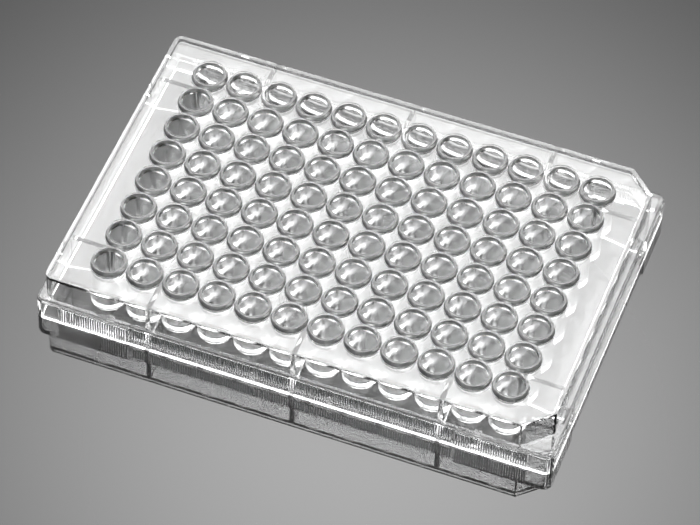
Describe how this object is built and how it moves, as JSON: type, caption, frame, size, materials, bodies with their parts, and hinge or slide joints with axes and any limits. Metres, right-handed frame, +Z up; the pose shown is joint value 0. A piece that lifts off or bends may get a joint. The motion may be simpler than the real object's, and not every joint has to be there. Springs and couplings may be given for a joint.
{
  "type": "well plate",
  "caption": "Clear flat-bottomed well plate: a grid of round wells with raised rims in a flat deck, on a stepped skirt with ribbed grip panels.",
  "frame": {"origin": "centre of the footprint, on the plane that the plate stands on", "axes": "+X along the long side towards the end with the two cut corners, +Y across the plate, +Z up out of the wells' mouths"},
  "size_m": [0.1278, 0.0854, 0.0143],
  "materials": {
    "clear_polystyrene": "clear, glossy as moulded"
  },
  "bodies": {
    "root": {"well_plate": "clear_polystyrene"}
  },
  "joints": []
}
